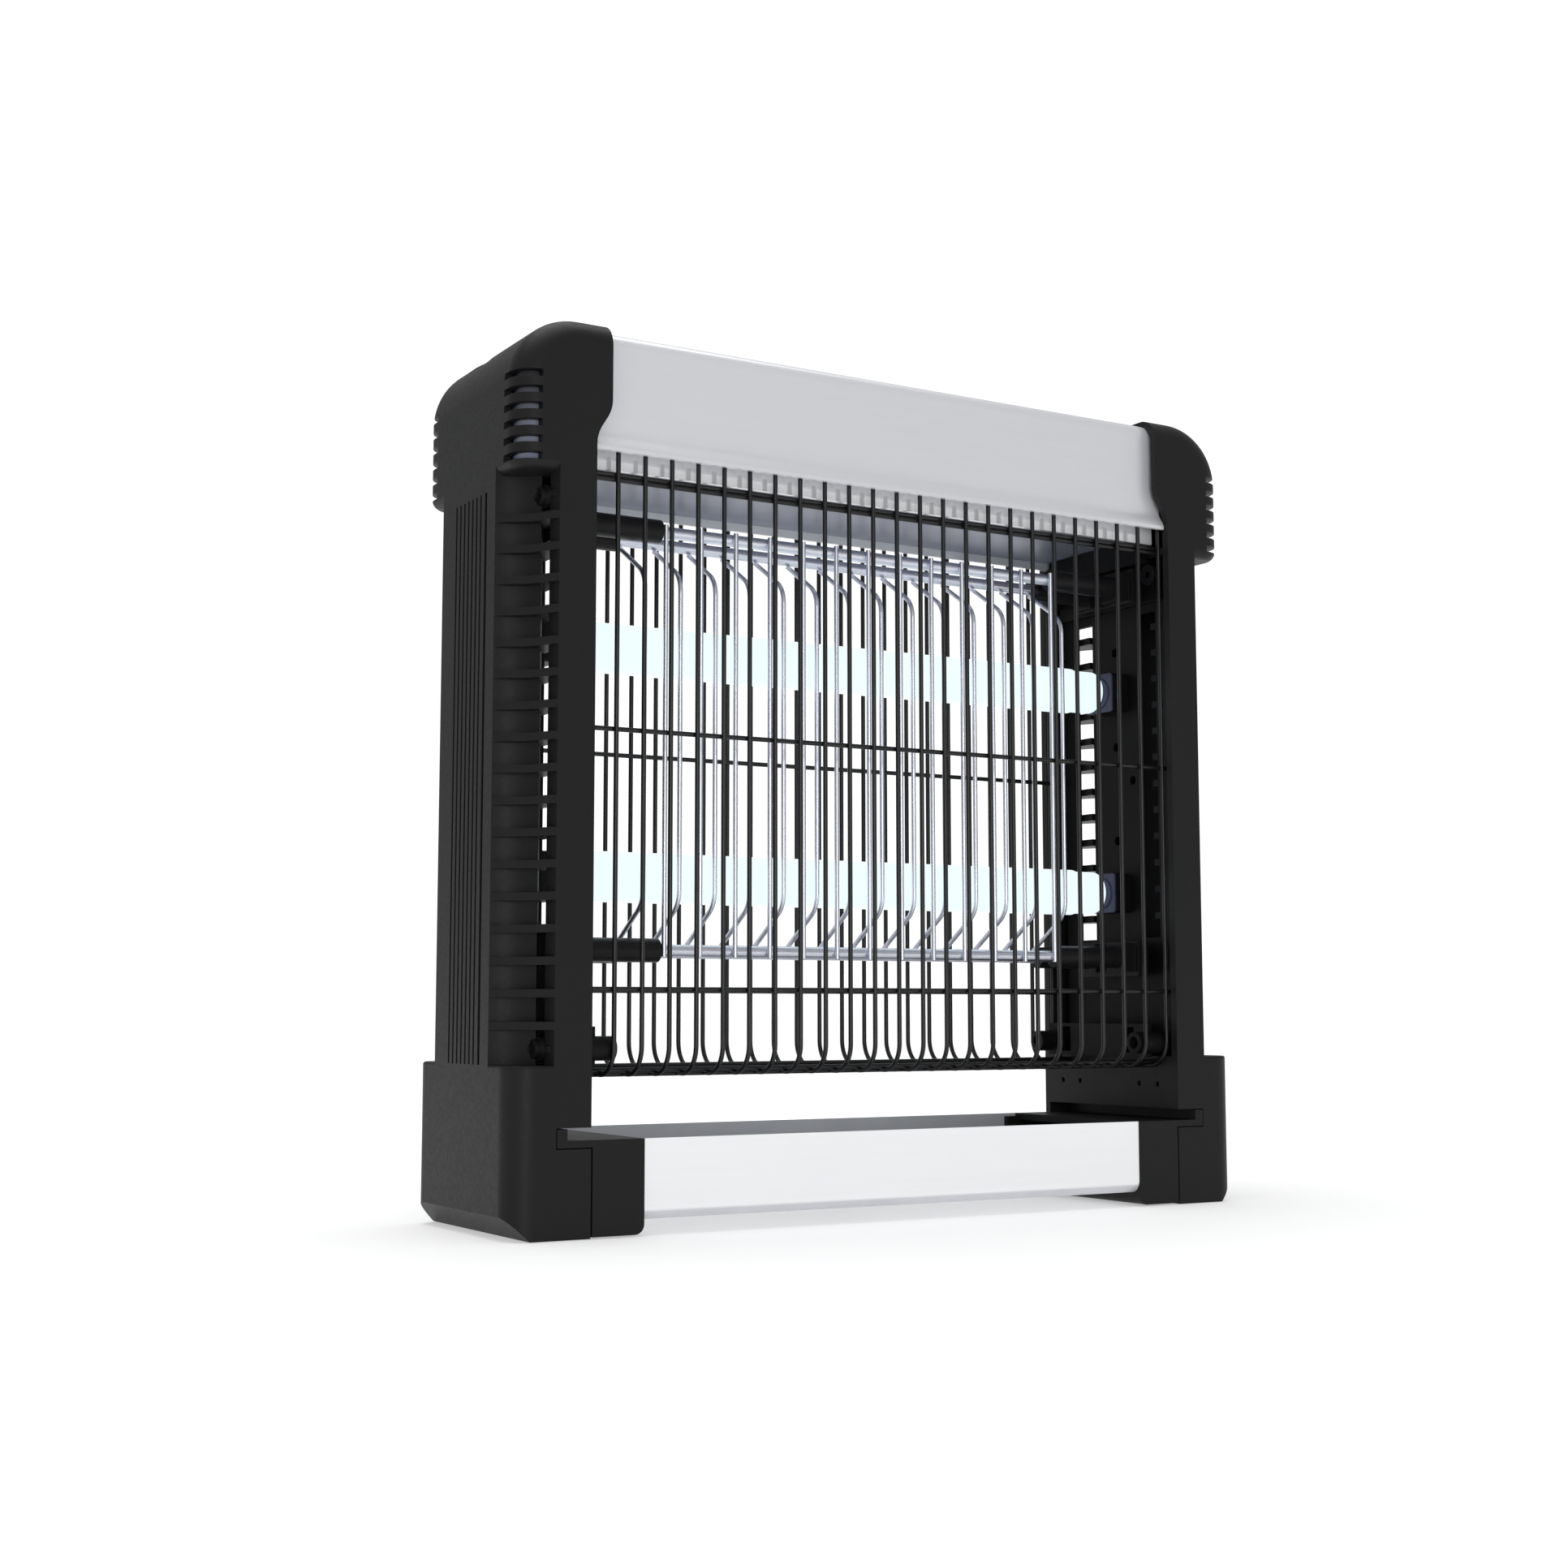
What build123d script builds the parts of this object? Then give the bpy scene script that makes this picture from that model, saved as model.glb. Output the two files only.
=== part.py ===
"""Free-standing electric insect killer with two ultraviolet tubes, millimetres, +Z up, front towards -Y.

The origin is the middle of the footprint at floor level.  Two black side housings carry an
aluminium header; wire guards close the front and the back, the tubes and the live grid sit
between them, and a catch tray slides out at the front.
"""
from build123d import *
import os

os.makedirs("parts", exist_ok=True)

# ---------------------------------------------------------------- driving dimensions
HALF_WIDTH = 135.0          # side faces
HALF_DEPTH = 36.5           # front and back faces
HEIGHT = 270.0              # top of the caps
WALL = 2.5                  # moulded wall
RUN = 0.3                   # clearance between moving neighbours

FOOT_TOP = 49.2
FOOT_CHAMFER = 6.7
CORNER_R = 7.8              # vertical outer corners
CROWN_R = 21.0              # cap edge above the side face
CAP_BOTTOM = 222.5
SLOT_Y = 8.0                # middle of the hanging slot in the crown
CAP_RIM_R = 3.0             # rounded lower edge of the cap
CAP_INNER = 104.5           # inner edge of a cap beside the header
STRIP_INNER = 109.5         # inner edge of the front strip
STRIP_OUTER = 121.4
STRIP_THICK = 3.0
SIDE_HALF = 20.5            # half depth of the flat side face of the post
REAR_COVE_END = 125.2       # the rear corner walls stop here and leave a wider slit
S_TOP = 246.0               # the cap edge swings outward between these two heights
S_BOTTOM = 232.0

SLAT_COUNT = 17
SLAT_FIRST = 60.5
SLAT_PITCH = 9.31
SLAT_THICK = 2.4
SLAT_INNER = 117.4

RIB_COUNT = 7
RIB_PITCH = 3.14
RIB_FIRST = -9.5
RIB_DEPTH = 0.8

VENT_COUNT = 6
VENT_FIRST = 226.1
VENT_PITCH = 4.95
VENT_HEIGHT = 2.2

BOSS_Y = 27.0               # fixing screws that run along X
PILLAR_Y = BOSS_Y
BOSS_END = -124.0           # outer end of the left bosses
BOSS_LOW = 53.8
BOSS_HIGH = 216.3
BOSS_R = 3.6
SCREW_R = 1.5

HEADER_FACE = 32.3          # flat front of the header
HEADER_TOP = 268.4
HEADER_CROWN_R = 4.6
HEADER_LIP = 34.8           # drip lip at the bottom edge
HEADER_LIP_Z = 231.0
HEADER_BEND_Z = 238.6
HEADER_WALL = 1.4
HEADER_HALF = 109.2
FLANGE_Y = 27.0
FLANGE_BOTTOM = 226.8
CEILING_Z = 229.6
PLATE = 1.2

GUARD_Y = 31.5
GUARD_PITCH = 9.1
GUARD_COUNT = 25
GUARD_R = 0.73
GUARD_TOP = 231.6
GUARD_FOOT = 46.0
GUARD_BEND = 8.5
GUARD_REACH = 12.5          # how far the lower ends turn inward
GUARD_BARS = (71.1, 148.0, 223.4, 224.9)

RAIL_R = 1.9
RAIL_FRONT_Y = -12.0
RAIL_REAR_Y = 5.8
RAIL_LOW = 83.1
RAIL_HIGH = 213.7
LIVE_R = 0.75
LIVE_PITCH = 12.5
STRAIGHT_COUNT = 13
BENT_COUNT = 14
BENT_Y = -12.5
BENT_LOW = 97.6
BENT_HIGH = 200.0
BENT_R = 8.0
SLEEVE_R = 3.7
SLEEVE_FRONT = 76.2
SLEEVE_REAR = 82.6

PANEL_X = 115.0
PANEL_THICK = 2.0
LAMP_R = 7.9
LAMP_CAP_R = 7.4
LAMP_CAP = 11.0             # length of a metal cap
LAMP_Z = (106.0, 177.5)
LAMP_HALF = 104.2
HOLDER_FACE = 107.6
LAMP_NAMES = ("lower", "upper")
HOLDER_HALF = 6.9
ROTOR_R = 5.4
ROTOR_END = 113.6
PIN_R = 1.1
PIN_OFFSET = 2.375
PIN_END = 112.0

TRAY_PANEL = 92.3           # end of the bright panel
TRAY_SIDE = 109.0
TRAY_TOP = 27.9
TRAY_BACK = 33.5
TRAY_FLOOR = 4.4
TRAY_BEND = 4.0             # outer bend of the trough
EAR_OUTER = 120.2
EAR_LOW = 25.8
EAR_HIGH = 31.2


# ---------------------------------------------------------------- helpers
def block(x0, x1, y0, y1, z0, z1):
    """Box between two corners."""
    centre = Pos((x0 + x1) / 2, (y0 + y1) / 2, (z0 + z1) / 2)
    return centre * Box(abs(x1 - x0), abs(y1 - y0), abs(z1 - z0))


def rod_x(radius, x0, x1, y, z):
    """Round bar along X."""
    return Pos((x0 + x1) / 2, y, z) * Rot(0, 90, 0) * Cylinder(radius, abs(x1 - x0))


def rod_y(radius, y0, y1, x, z):
    """Round bar along Y."""
    return Pos(x, (y0 + y1) / 2, z) * Rot(90, 0, 0) * Cylinder(radius, abs(y1 - y0))


def rod_z(radius, z0, z1, x, y):
    """Round bar along Z."""
    return Pos(x, y, (z0 + z1) / 2) * Cylinder(radius, abs(z1 - z0))


def both_ends(piece):
    """A piece and its copy mirrored front to back."""
    return [piece, piece.mirror(Plane.XZ)]


def join(pieces):
    """Fuse a list of solids into one."""
    return pieces[0].fuse(*pieces[1:])


def prism_x(face, x0, x1):
    """Extrude a profile drawn in Y (as x) and Z (as y) from x0 to x1."""
    return extrude(Plane.YZ.offset(x0) * face, amount=x1 - x0)


def prism_z(face, z0, z1):
    """Extrude a plan outline from z0 to z1."""
    return extrude(Plane.XY.offset(z0) * face, amount=z1 - z0)


def mirrored(group):
    """Copy of a group of solids mirrored left to right."""
    return Compound(children=[solid.mirror(Plane.YZ) for solid in group.solids()])


def save(shape, name):
    """Write one node."""
    shape.label = name
    export_step(shape, f"parts/{name}.step")


# ---------------------------------------------------------------- side housings
def rounded_plan(inset, z0, z1, inner):
    """Block with round outer vertical corners, on the left side."""
    half_x = HALF_WIDTH - inset
    half_y = HALF_DEPTH - inset
    radius = CORNER_R - inset
    width = half_x - inner
    outline = Rectangle(width, 2 * half_y)
    corners = outline.vertices().filter_by(lambda v: v.X < 0)
    outline = Pos(-(half_x + inner) / 2, 0) * fillet(corners, radius)
    return prism_z(outline, z0, z1)


def cap_block(inset, bottom):
    """Cap outer form: a wide crown over the side, then one radius round the front and back edges."""
    half_x = HALF_WIDTH - inset
    half_y = HALF_DEPTH - inset
    top = HEIGHT - inset
    front_view = Rectangle(half_x - CAP_INNER, top - bottom)
    edge = front_view.vertices().filter_by(lambda v: v.X < 0 and v.Y > 0)
    front_view = Pos(-(half_x + CAP_INNER) / 2, (top + bottom) / 2) * fillet(edge, CROWN_R - inset)
    body = extrude(Plane.XZ.offset(-half_y) * front_view, amount=2 * half_y)
    outer = body.edges().filter_by(lambda e: abs(abs(e.center().Y) - half_y) < 0.01)
    outer = outer.filter_by(lambda e: e.center().X < -CAP_INNER - 0.5 and e.center().Z > bottom + 0.5)
    body = fillet(outer, CORNER_R - inset)
    if inset == 0:
        rim = body.edges().group_by(Axis.Z)[0].filter_by(lambda e: e.center().X < -CAP_INNER - 0.5)
        body = fillet(rim, CAP_RIM_R)
    return body


def swing_cut():
    """Room beside the header where the cap edge swings outward, as a prism along Y."""
    middle_x = -(CAP_INNER + STRIP_INNER) / 2
    middle_z = (S_TOP + S_BOTTOM) / 2
    inner = -CAP_INNER + 1
    strip = -STRIP_INNER
    upper = Spline(
        (-CAP_INNER, S_TOP), (middle_x, middle_z), (strip, S_BOTTOM), tangents=[(0, -1), (0, -1)]
    )
    rest = Polyline(
        (strip, S_BOTTOM), (strip, CAP_BOTTOM - 1), (inner, CAP_BOTTOM - 1),
        (inner, S_TOP), (-CAP_INNER, S_TOP)
    )
    face = make_face([upper, rest])
    return extrude(Plane.XZ.offset(-HALF_DEPTH - 1) * face, amount=2 * HALF_DEPTH + 2)


def cap_shell():
    """Hollow cap with corner vents, hanging recess and a cable way down into the post."""
    shell = cap_block(0, CAP_BOTTOM) - cap_block(WALL, CAP_BOTTOM + WALL)
    shell -= swing_cut()
    shell -= prism_x(header_outline(-RUN), -HEADER_HALF - RUN, -CAP_INNER + 1)
    shell -= block(-131, -123, -17, 17, CAP_BOTTOM - 1, CAP_BOTTOM + WALL + 1)
    for index in range(VENT_COUNT):
        z = VENT_FIRST + index * VENT_PITCH
        slot = block(-137, -127.2, -38, -26.0, z - VENT_HEIGHT / 2, z + VENT_HEIGHT / 2)
        for cut in both_ends(slot):
            shell -= cut
    recess = block(-129.5, -117, SLOT_Y - 8, SLOT_Y + 8, 256, 272)
    pocket = block(-131.5, -115, SLOT_Y - 10, SLOT_Y + 10, 254, 271) & cap_block(0, CAP_BOTTOM)
    return (shell + pocket) - recess - hanging_pin(-1)


def foot_shell():
    """Hollow foot with a bevelled outer edge and the slot that guides the tray."""
    outer = rounded_plan(0, 0, FOOT_TOP, STRIP_INNER)
    rim = outer.edges().group_by(Axis.Z)[-1].filter_by(lambda e: e.center().X < -STRIP_INNER - 0.5)
    outer = fillet(rim, 0.8)
    side = -HALF_WIDTH - 1
    bevel = Polyline((side, -1), (side + FOOT_CHAMFER + 2, -1), (side, FOOT_CHAMFER + 1), close=True)
    bevel_cut = extrude(Plane.XZ.offset(-50) * make_face(bevel), amount=100)
    cavity = rounded_plan(WALL, -1, FOOT_TOP - WALL, STRIP_INNER + WALL)
    cavity -= extrude(Plane.XZ.offset(-50) * make_face(bevel.moved(Location((2.2, 0, 2.2)))), amount=100)
    shell = outer - bevel_cut - cavity
    shelf_z = EAR_LOW - RUN
    slot = block(
        -EAR_OUTER - RUN, -STRIP_INNER + 1, -HALF_DEPTH - 1, HALF_DEPTH - WALL, shelf_z, EAR_HIGH + RUN
    )
    shelf = block(-EAR_OUTER - 2, -STRIP_INNER - 0.5, -HALF_DEPTH + 1, HALF_DEPTH - 1, shelf_z - 2, shelf_z)
    guide = block(-EAR_OUTER - 2, -EAR_OUTER - RUN, -HALF_DEPTH + 1, HALF_DEPTH - 1, shelf_z, FOOT_TOP - 1)
    shell = shell + shelf + guide - slot
    for y in (-26.0, -16.3):
        for hole in both_ends(rod_x(0.9, -STRIP_INNER - 3, -STRIP_INNER + 1, y, 39.7)):
            shell -= hole
    return shell


def cove_wall():
    """Thin wall that closes the front corner recess of the post, up to a narrow slit."""
    outer = ThreePointArc((-HALF_WIDTH, -SIDE_HALF), (-128.4, -22.2), (-122.8, -26.6))
    tip = Line((-122.8, -26.6), (-121.6, -24.9))
    inner = ThreePointArc((-121.6, -24.9), (-127.6, -20.3), (-132.6, -18.6))
    root = Line((-132.6, -18.6), (-HALF_WIDTH, -SIDE_HALF))
    return make_face([outer, tip, inner, root])


def slat_face():
    """Plan of one slat: concave outer edge, and a shelf that reaches in almost to the inner panel."""
    start = (-HALF_WIDTH, -SIDE_HALF)
    end = (-STRIP_OUTER, -HALF_DEPTH)
    rim = Spline(start, (-131.9, -23.6), (-127.2, -27.0), (-124.3, -32.0), end)
    inner = -SLAT_INNER
    back = Polyline(
        end, (-120.2, -HALF_DEPTH), (-120.2, -30.0), (inner, -30.0), (inner, -17.0), (-133.2, -17.0), start
    )
    return make_face([rim, back])


def post_walls():
    """Side wall, strips, corner walls and slats between foot and cap."""
    low = FOOT_TOP - 1
    high = CAP_BOTTOM + 1
    side = block(-HALF_WIDTH, -HALF_WIDTH + WALL, -SIDE_HALF, SIDE_HALF, low, CAP_BOTTOM + 6)
    strip = block(-STRIP_OUTER, -STRIP_INNER, -HALF_DEPTH, -HALF_DEPTH + STRIP_THICK, low, S_BOTTOM)
    returned = block(-STRIP_OUTER, -STRIP_OUTER + 2, -HALF_DEPTH, -29.5, low, high)
    cove = prism_z(cove_wall(), low, high)
    rear_cove = cove.mirror(Plane.XZ) - block(-REAR_COVE_END, -119, 15, HALF_DEPTH, low - 1, high + 1)
    front = [strip, returned]
    slat = slat_face()
    for index in range(SLAT_COUNT):
        z = SLAT_FIRST + index * SLAT_PITCH
        front.append(prism_z(slat, z - SLAT_THICK / 2, z + SLAT_THICK / 2))
    pieces = [side, cove, rear_cove]
    for piece in front:
        pieces.extend(both_ends(piece))
    return pieces


def screw_bosses():
    """Stepped bosses in the first and last cell of each corner recess."""
    pieces = []
    for z in (BOSS_LOW, BOSS_HIGH):
        big = rod_x(BOSS_R, -122.4, -117.3, -BOSS_Y, z)
        small = rod_x(BOSS_R - 0.8, BOSS_END, -122.4, -BOSS_Y, z)
        web = block(-122.0, -119.5, -33.8, -BOSS_Y, z - 1, z + 1)
        for piece in (big, small, web):
            pieces.extend(both_ends(piece))
    return pieces


def boss_bores():
    """Screw holes through the bosses."""
    pieces = []
    for z in (BOSS_LOW, BOSS_HIGH):
        pieces.extend(both_ends(rod_x(SCREW_R + 0.1, BOSS_END - 1, -117, -BOSS_Y, z)))
        pieces.extend(both_ends(rod_x(2.3, BOSS_END - 1, BOSS_END + 1.6, -BOSS_Y, z)))
    return pieces


def side_housing():
    """Left housing: cap, post and foot in one moulding."""
    pieces = [cap_shell(), foot_shell()] + post_walls() + screw_bosses()
    body = join(pieces)
    grooves = []
    for index in range(RIB_COUNT):
        y = RIB_FIRST + index * RIB_PITCH
        grooves.append(block(-HALF_WIDTH - 1, -HALF_WIDTH + RIB_DEPTH, y - 0.55, y + 0.55, FOOT_TOP, 218.7))
    deep = RIB_FIRST - 3.9
    grooves.append(block(-HALF_WIDTH - 1, -HALF_WIDTH + 1.2, deep - 0.8, deep + 0.8, FOOT_TOP, 218.7))
    return body.cut(*grooves, *boss_bores())


def inner_panel():
    """Left inner panel: plate with windows beside the tubes, holder openings and screw holes."""
    plate = block(-PANEL_X - PANEL_THICK, -PANEL_X, -29.2, 29.2, FOOT_TOP + 0.3, CAP_BOTTOM - 0.3)
    cuts = []
    for side in (-1, 1):
        cuts.append(block(-PANEL_X - 3, -PANEL_X + 1, side * 12.5, side * 22.5, 90, 205))
        for z in (BOSS_LOW, BOSS_HIGH):
            cuts.append(rod_x(SCREW_R + 0.1, -PANEL_X - 3, -PANEL_X + 1, side * BOSS_Y, z))
    for y, z in ((0, 158.7), (0, 125.0), (0, 193.0), (-9.0, 146.0)):
        cuts.append(rod_x(1.6, -PANEL_X - 3, -PANEL_X + 1, y, z))
    for z in LAMP_Z:
        cuts.append(block(-PANEL_X - 3, -PANEL_X + 1, -5, 5, z - 5, z + 5))
    return plate.cut(*cuts)


def cross_bracket():
    """Left lower bracket: two pillars along X and a windowed bar between them."""
    near = -98.5
    bar = block(-106.4, -104.0, -PILLAR_Y, PILLAR_Y, 48.9, 60.2)
    pieces = [bar]
    for side in (-1, 1):
        pieces.append(rod_x(BOSS_R, -PANEL_X, near, side * PILLAR_Y, BOSS_LOW))
        pieces.append(block(-PANEL_X, -104.2, side * 12.0, side * 14.0, FOOT_TOP + 0.3, 60.2))
    body = join(pieces)
    cuts = []
    for side in (-1, 1):
        cuts.append(block(-107.5, -103, side * 14.5, side * 20.5, 50.4, 59.0))
        cuts.append(rod_x(1.25, -PANEL_X - 1, near + 1, side * PILLAR_Y, BOSS_LOW))
        cuts.append(rod_x(2.1, near - 1.5, near + 1, side * PILLAR_Y, BOSS_LOW))
    return body.cut(*cuts)


def upper_bracket():
    """Left upper bracket: short pillars for the top screws."""
    near = -107.8
    pieces = [block(-PANEL_X, -PANEL_X + 2.4, -28.5, 28.5, 208.0, 221.5)]
    pieces.append(block(-PANEL_X, -105.5, -25.5, 25.5, 220.5, 222.0))
    pieces.append(block(-STRIP_INNER + 0.3, -105.5, -25.5, 25.5, 220.5, 229.2))
    for side in (-1, 1):
        pieces.append(rod_x(BOSS_R, -PANEL_X, near, side * PILLAR_Y, BOSS_HIGH))
    body = join(pieces)
    cuts = []
    for side in (-1, 1):
        cuts.append(rod_x(1.25, -PANEL_X - 1, near + 1, side * PILLAR_Y, BOSS_HIGH))
    for y in (RAIL_FRONT_Y, RAIL_REAR_Y):
        cuts.append(rod_x(SLEEVE_R + 0.05, -PANEL_X - 1, near + 1, y, RAIL_HIGH))
    return body.cut(*cuts)


def sleeve(x_end, y, z):
    """Insulating sleeve on one rail end, on the left side."""
    tube = rod_x(SLEEVE_R, -PANEL_X, -x_end, y, z)
    return tube - rod_x(RAIL_R, -PANEL_X + 3, -x_end + 1, y, z)


def rail_holder(z, direction):
    """Left stepped block that carries both sleeves at one height."""
    low = min(z - 5.5, z + direction * 6.5)
    high = max(z + 5.5, z + direction * 6.5)
    pieces = [block(-PANEL_X + 2.4, -PANEL_X + 7, -18.6, 12.2, low, high)]
    pieces.append(block(-PANEL_X + 7, -PANEL_X + 11.5, -17.2, -6.8, z - 5, z + 5))
    pieces.append(block(-PANEL_X + 7, -PANEL_X + 10, 1.0, 10.6, z - 5, z + 5))
    body = join(pieces)
    for y in (RAIL_FRONT_Y, RAIL_REAR_Y):
        body -= rod_x(SLEEVE_R + 0.05, -PANEL_X, -PANEL_X + 15, y, z)
    return body


# ---------------------------------------------------------------- header
def header_outline(inset):
    """Closed outline of the header, drawn inset from its skin."""
    face = HEADER_FACE - inset
    lip = HEADER_LIP - inset
    top = HEADER_TOP - inset
    radius = HEADER_CROWN_R - inset
    bend = HEADER_BEND_Z
    low = HEADER_LIP_Z
    knee = (face + 0.35, bend - 2.6)
    left = [
        Line((-lip, low), (-lip, low + 1.2)),
        Spline((-lip, low + 1.2), (-knee[0], knee[1]), (-face, bend + 1.5), tangents=[(0.35, 1), (0, 1)]),
        Line((-face, bend + 1.5), (-face, top - radius)),
        RadiusArc((-face, top - radius), (-face + radius, top), radius),
    ]
    crown = Line((-face + radius, top), (face - radius, top))
    right = [
        RadiusArc((face - radius, top), (face, top - radius), radius),
        Line((face, top - radius), (face, bend + 1.5)),
        Spline((face, bend + 1.5), (knee[0], knee[1]), (lip, low + 1.2), tangents=[(0, -1), (0.35, -1)]),
        Line((lip, low + 1.2), (lip, low)),
    ]
    floor = Line((lip, low), (-lip, low))
    return make_face(left + [crown] + right + [floor])


def header_shell():
    """Aluminium header extrusion with drip lips and inner flanges."""
    skin = prism_x(header_outline(0), -HEADER_HALF, HEADER_HALF)
    hollow = prism_x(header_outline(HEADER_WALL), -HEADER_HALF - 1, HEADER_HALF + 1)
    shell = skin - hollow
    web = []
    for side in (-1, 1):
        y0 = side * FLANGE_Y
        y1 = side * (FLANGE_Y + PLATE)
        web.append(block(-HEADER_HALF, HEADER_HALF, y0, y1, FLANGE_BOTTOM, 236.5))
        y2 = side * (HEADER_FACE - 0.6)
        web.append(block(-HEADER_HALF, HEADER_HALF, y0, y2, 235.3, 236.5))
    return join([shell] + web)


def ceiling_plate():
    """Bright plate that closes the header from below."""
    plate = block(-HEADER_HALF, HEADER_HALF, -FLANGE_Y, FLANGE_Y, CEILING_Z, CEILING_Z + PLATE)
    rim = block(-HEADER_HALF, HEADER_HALF, -FLANGE_Y, -FLANGE_Y + PLATE, CEILING_Z, 234.0)
    return join([plate] + both_ends(rim))


# ---------------------------------------------------------------- guards and live grid
def guard():
    """Front guard: bent upright wires welded to cross wires."""
    corner = (0, -GUARD_Y, GUARD_FOOT)
    end = (0, -GUARD_Y + GUARD_REACH, GUARD_FOOT)
    path = FilletPolyline((0, -GUARD_Y, GUARD_TOP), corner, end, radius=GUARD_BEND)
    start = Plane(origin=(0, -GUARD_Y, GUARD_TOP), z_dir=(0, 0, -1))
    wire = sweep(start * Circle(GUARD_R), path=path)
    span = (GUARD_COUNT - 1) * GUARD_PITCH / 2
    pieces = [Pos(index * GUARD_PITCH - span, 0, 0) * wire for index in range(GUARD_COUNT)]
    cross_y = -GUARD_Y + 1.25
    for z in GUARD_BARS:
        half = 119.0 if z < BOSS_HIGH else span + 0.4
        pieces.append(rod_x(GUARD_R, -half, half, cross_y, z))
    for y, rise in ((-GUARD_Y + 9.0, 1.25), (-GUARD_Y + GUARD_REACH, 0.0)):
        pieces.append(rod_x(GUARD_R + 0.05, -span - 0.4, span + 0.4, y, GUARD_FOOT + rise))
    return join(pieces)


def live_positions(count):
    """X of the live wires of one set."""
    return [LIVE_PITCH * (index - (count - 1) / 2) for index in range(count)]


def straight_grid():
    """Straight live wires on the two front rails."""
    pieces = [rod_x(RAIL_R, -PANEL_X + 3, PANEL_X - 3, RAIL_FRONT_Y, z) for z in (RAIL_LOW, RAIL_HIGH)]
    y = RAIL_FRONT_Y - RAIL_R - LIVE_R + 0.15
    for x in live_positions(STRAIGHT_COUNT):
        pieces.append(rod_z(LIVE_R, RAIL_LOW - RAIL_R, RAIL_HIGH + RAIL_R, x, y))
    return join(pieces)


def bent_grid():
    """Bent live wires that reach forward from the two rear rails."""
    pieces = [rod_x(RAIL_R, -PANEL_X + 3, PANEL_X - 3, RAIL_REAR_Y, z) for z in (RAIL_LOW, RAIL_HIGH)]
    reach = RAIL_R + LIVE_R - 0.3
    top = (0, RAIL_REAR_Y, RAIL_HIGH - reach)
    bottom = (0, RAIL_REAR_Y, RAIL_LOW + reach)
    path = FilletPolyline(top, (0, BENT_Y, BENT_HIGH), (0, BENT_Y, BENT_LOW), bottom, radius=BENT_R)
    start = Plane(origin=top, z_dir=(0, BENT_Y - top[1], BENT_HIGH - top[2]))
    wire = sweep(start * Circle(LIVE_R), path=path)
    for x in live_positions(BENT_COUNT):
        pieces.append(Pos(x, 0, 0) * wire)
    return join(pieces)


def sleeves():
    """Four insulating sleeves on the left side."""
    group = []
    for y, end in ((RAIL_FRONT_Y, SLEEVE_FRONT), (RAIL_REAR_Y, SLEEVE_REAR)):
        for z in (RAIL_LOW, RAIL_HIGH):
            group.append(sleeve(end, y, z))
    return Compound(children=group)


# ---------------------------------------------------------------- tubes and holders
def lamp_glass(z):
    """Glass tube."""
    return rod_x(LAMP_R, -LAMP_HALF + LAMP_CAP, LAMP_HALF - LAMP_CAP, 0, z)


def lamp_caps(z):
    """Metal caps at both ends of the tube."""
    caps = []
    for side in (-1, 1):
        cap = rod_x(LAMP_CAP_R, side * (LAMP_HALF - LAMP_CAP), side * LAMP_HALF, 0, z)
        rim = cap.edges().filter_by(GeomType.CIRCLE).sort_by(Axis.X)
        cap = fillet(rim[0] if side < 0 else rim[-1], 1.6)
        caps.append(cap)
    return Compound(children=caps)


def lamp_pins(z):
    """Two contact pins at each end."""
    pins = []
    for side in (-1, 1):
        for offset in (-PIN_OFFSET, PIN_OFFSET):
            pins.append(rod_x(PIN_R, side * LAMP_HALF, side * PIN_END, 0, z + offset))
    return Compound(children=pins)


def lamp_rotors(z):
    """Turning rotors of the two holders, with the pins seated in their slots."""
    rotors = []
    for side in (-1, 1):
        rotor = rod_x(ROTOR_R, side * (HOLDER_FACE - 0.6), side * ROTOR_END, 0, z)
        for offset in (-PIN_OFFSET, PIN_OFFSET):
            rotor -= rod_x(PIN_R, side * LAMP_HALF, side * PIN_END, 0, z + offset)
        rotors.append(rotor)
    return Compound(children=rotors)


def lamp_holder(z, side):
    """Holder body around a rotor."""
    x0 = HOLDER_FACE
    body = block(x0, PANEL_X, -HOLDER_HALF, HOLDER_HALF, z - HOLDER_HALF, z + HOLDER_HALF)
    uprights = body.edges().filter_by(Axis.X)
    body = fillet(uprights, 1.0)
    body -= rod_x(ROTOR_R + 0.05, x0 - 1, ROTOR_END + RUN, 0, z)
    if side < 0:
        return body.mirror(Plane.YZ)
    return body


# ---------------------------------------------------------------- tray
def tray_trough():
    """Bright folded trough: front panel, floor and rear wall."""
    skin = 1.3
    front = -HALF_DEPTH + 0.2
    outer = Polyline(
        (front, TRAY_TOP), (front, TRAY_FLOOR), (TRAY_BACK, TRAY_FLOOR), (TRAY_BACK, TRAY_TOP), close=True
    )
    face = make_face(outer)
    low = face.vertices().filter_by(lambda v: v.Y < 15)
    face = fillet(low, TRAY_BEND)
    inner = Polyline(
        (front + skin, TRAY_TOP + 1), (front + skin, TRAY_FLOOR + skin),
        (TRAY_BACK - skin, TRAY_FLOOR + skin), (TRAY_BACK - skin, TRAY_TOP + 1), close=True
    )
    hole = make_face(inner)
    low_inner = hole.vertices().filter_by(lambda v: v.Y < 15)
    hole = fillet(low_inner, TRAY_BEND - skin)
    return prism_x(face - hole, -TRAY_PANEL, TRAY_PANEL)


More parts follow.
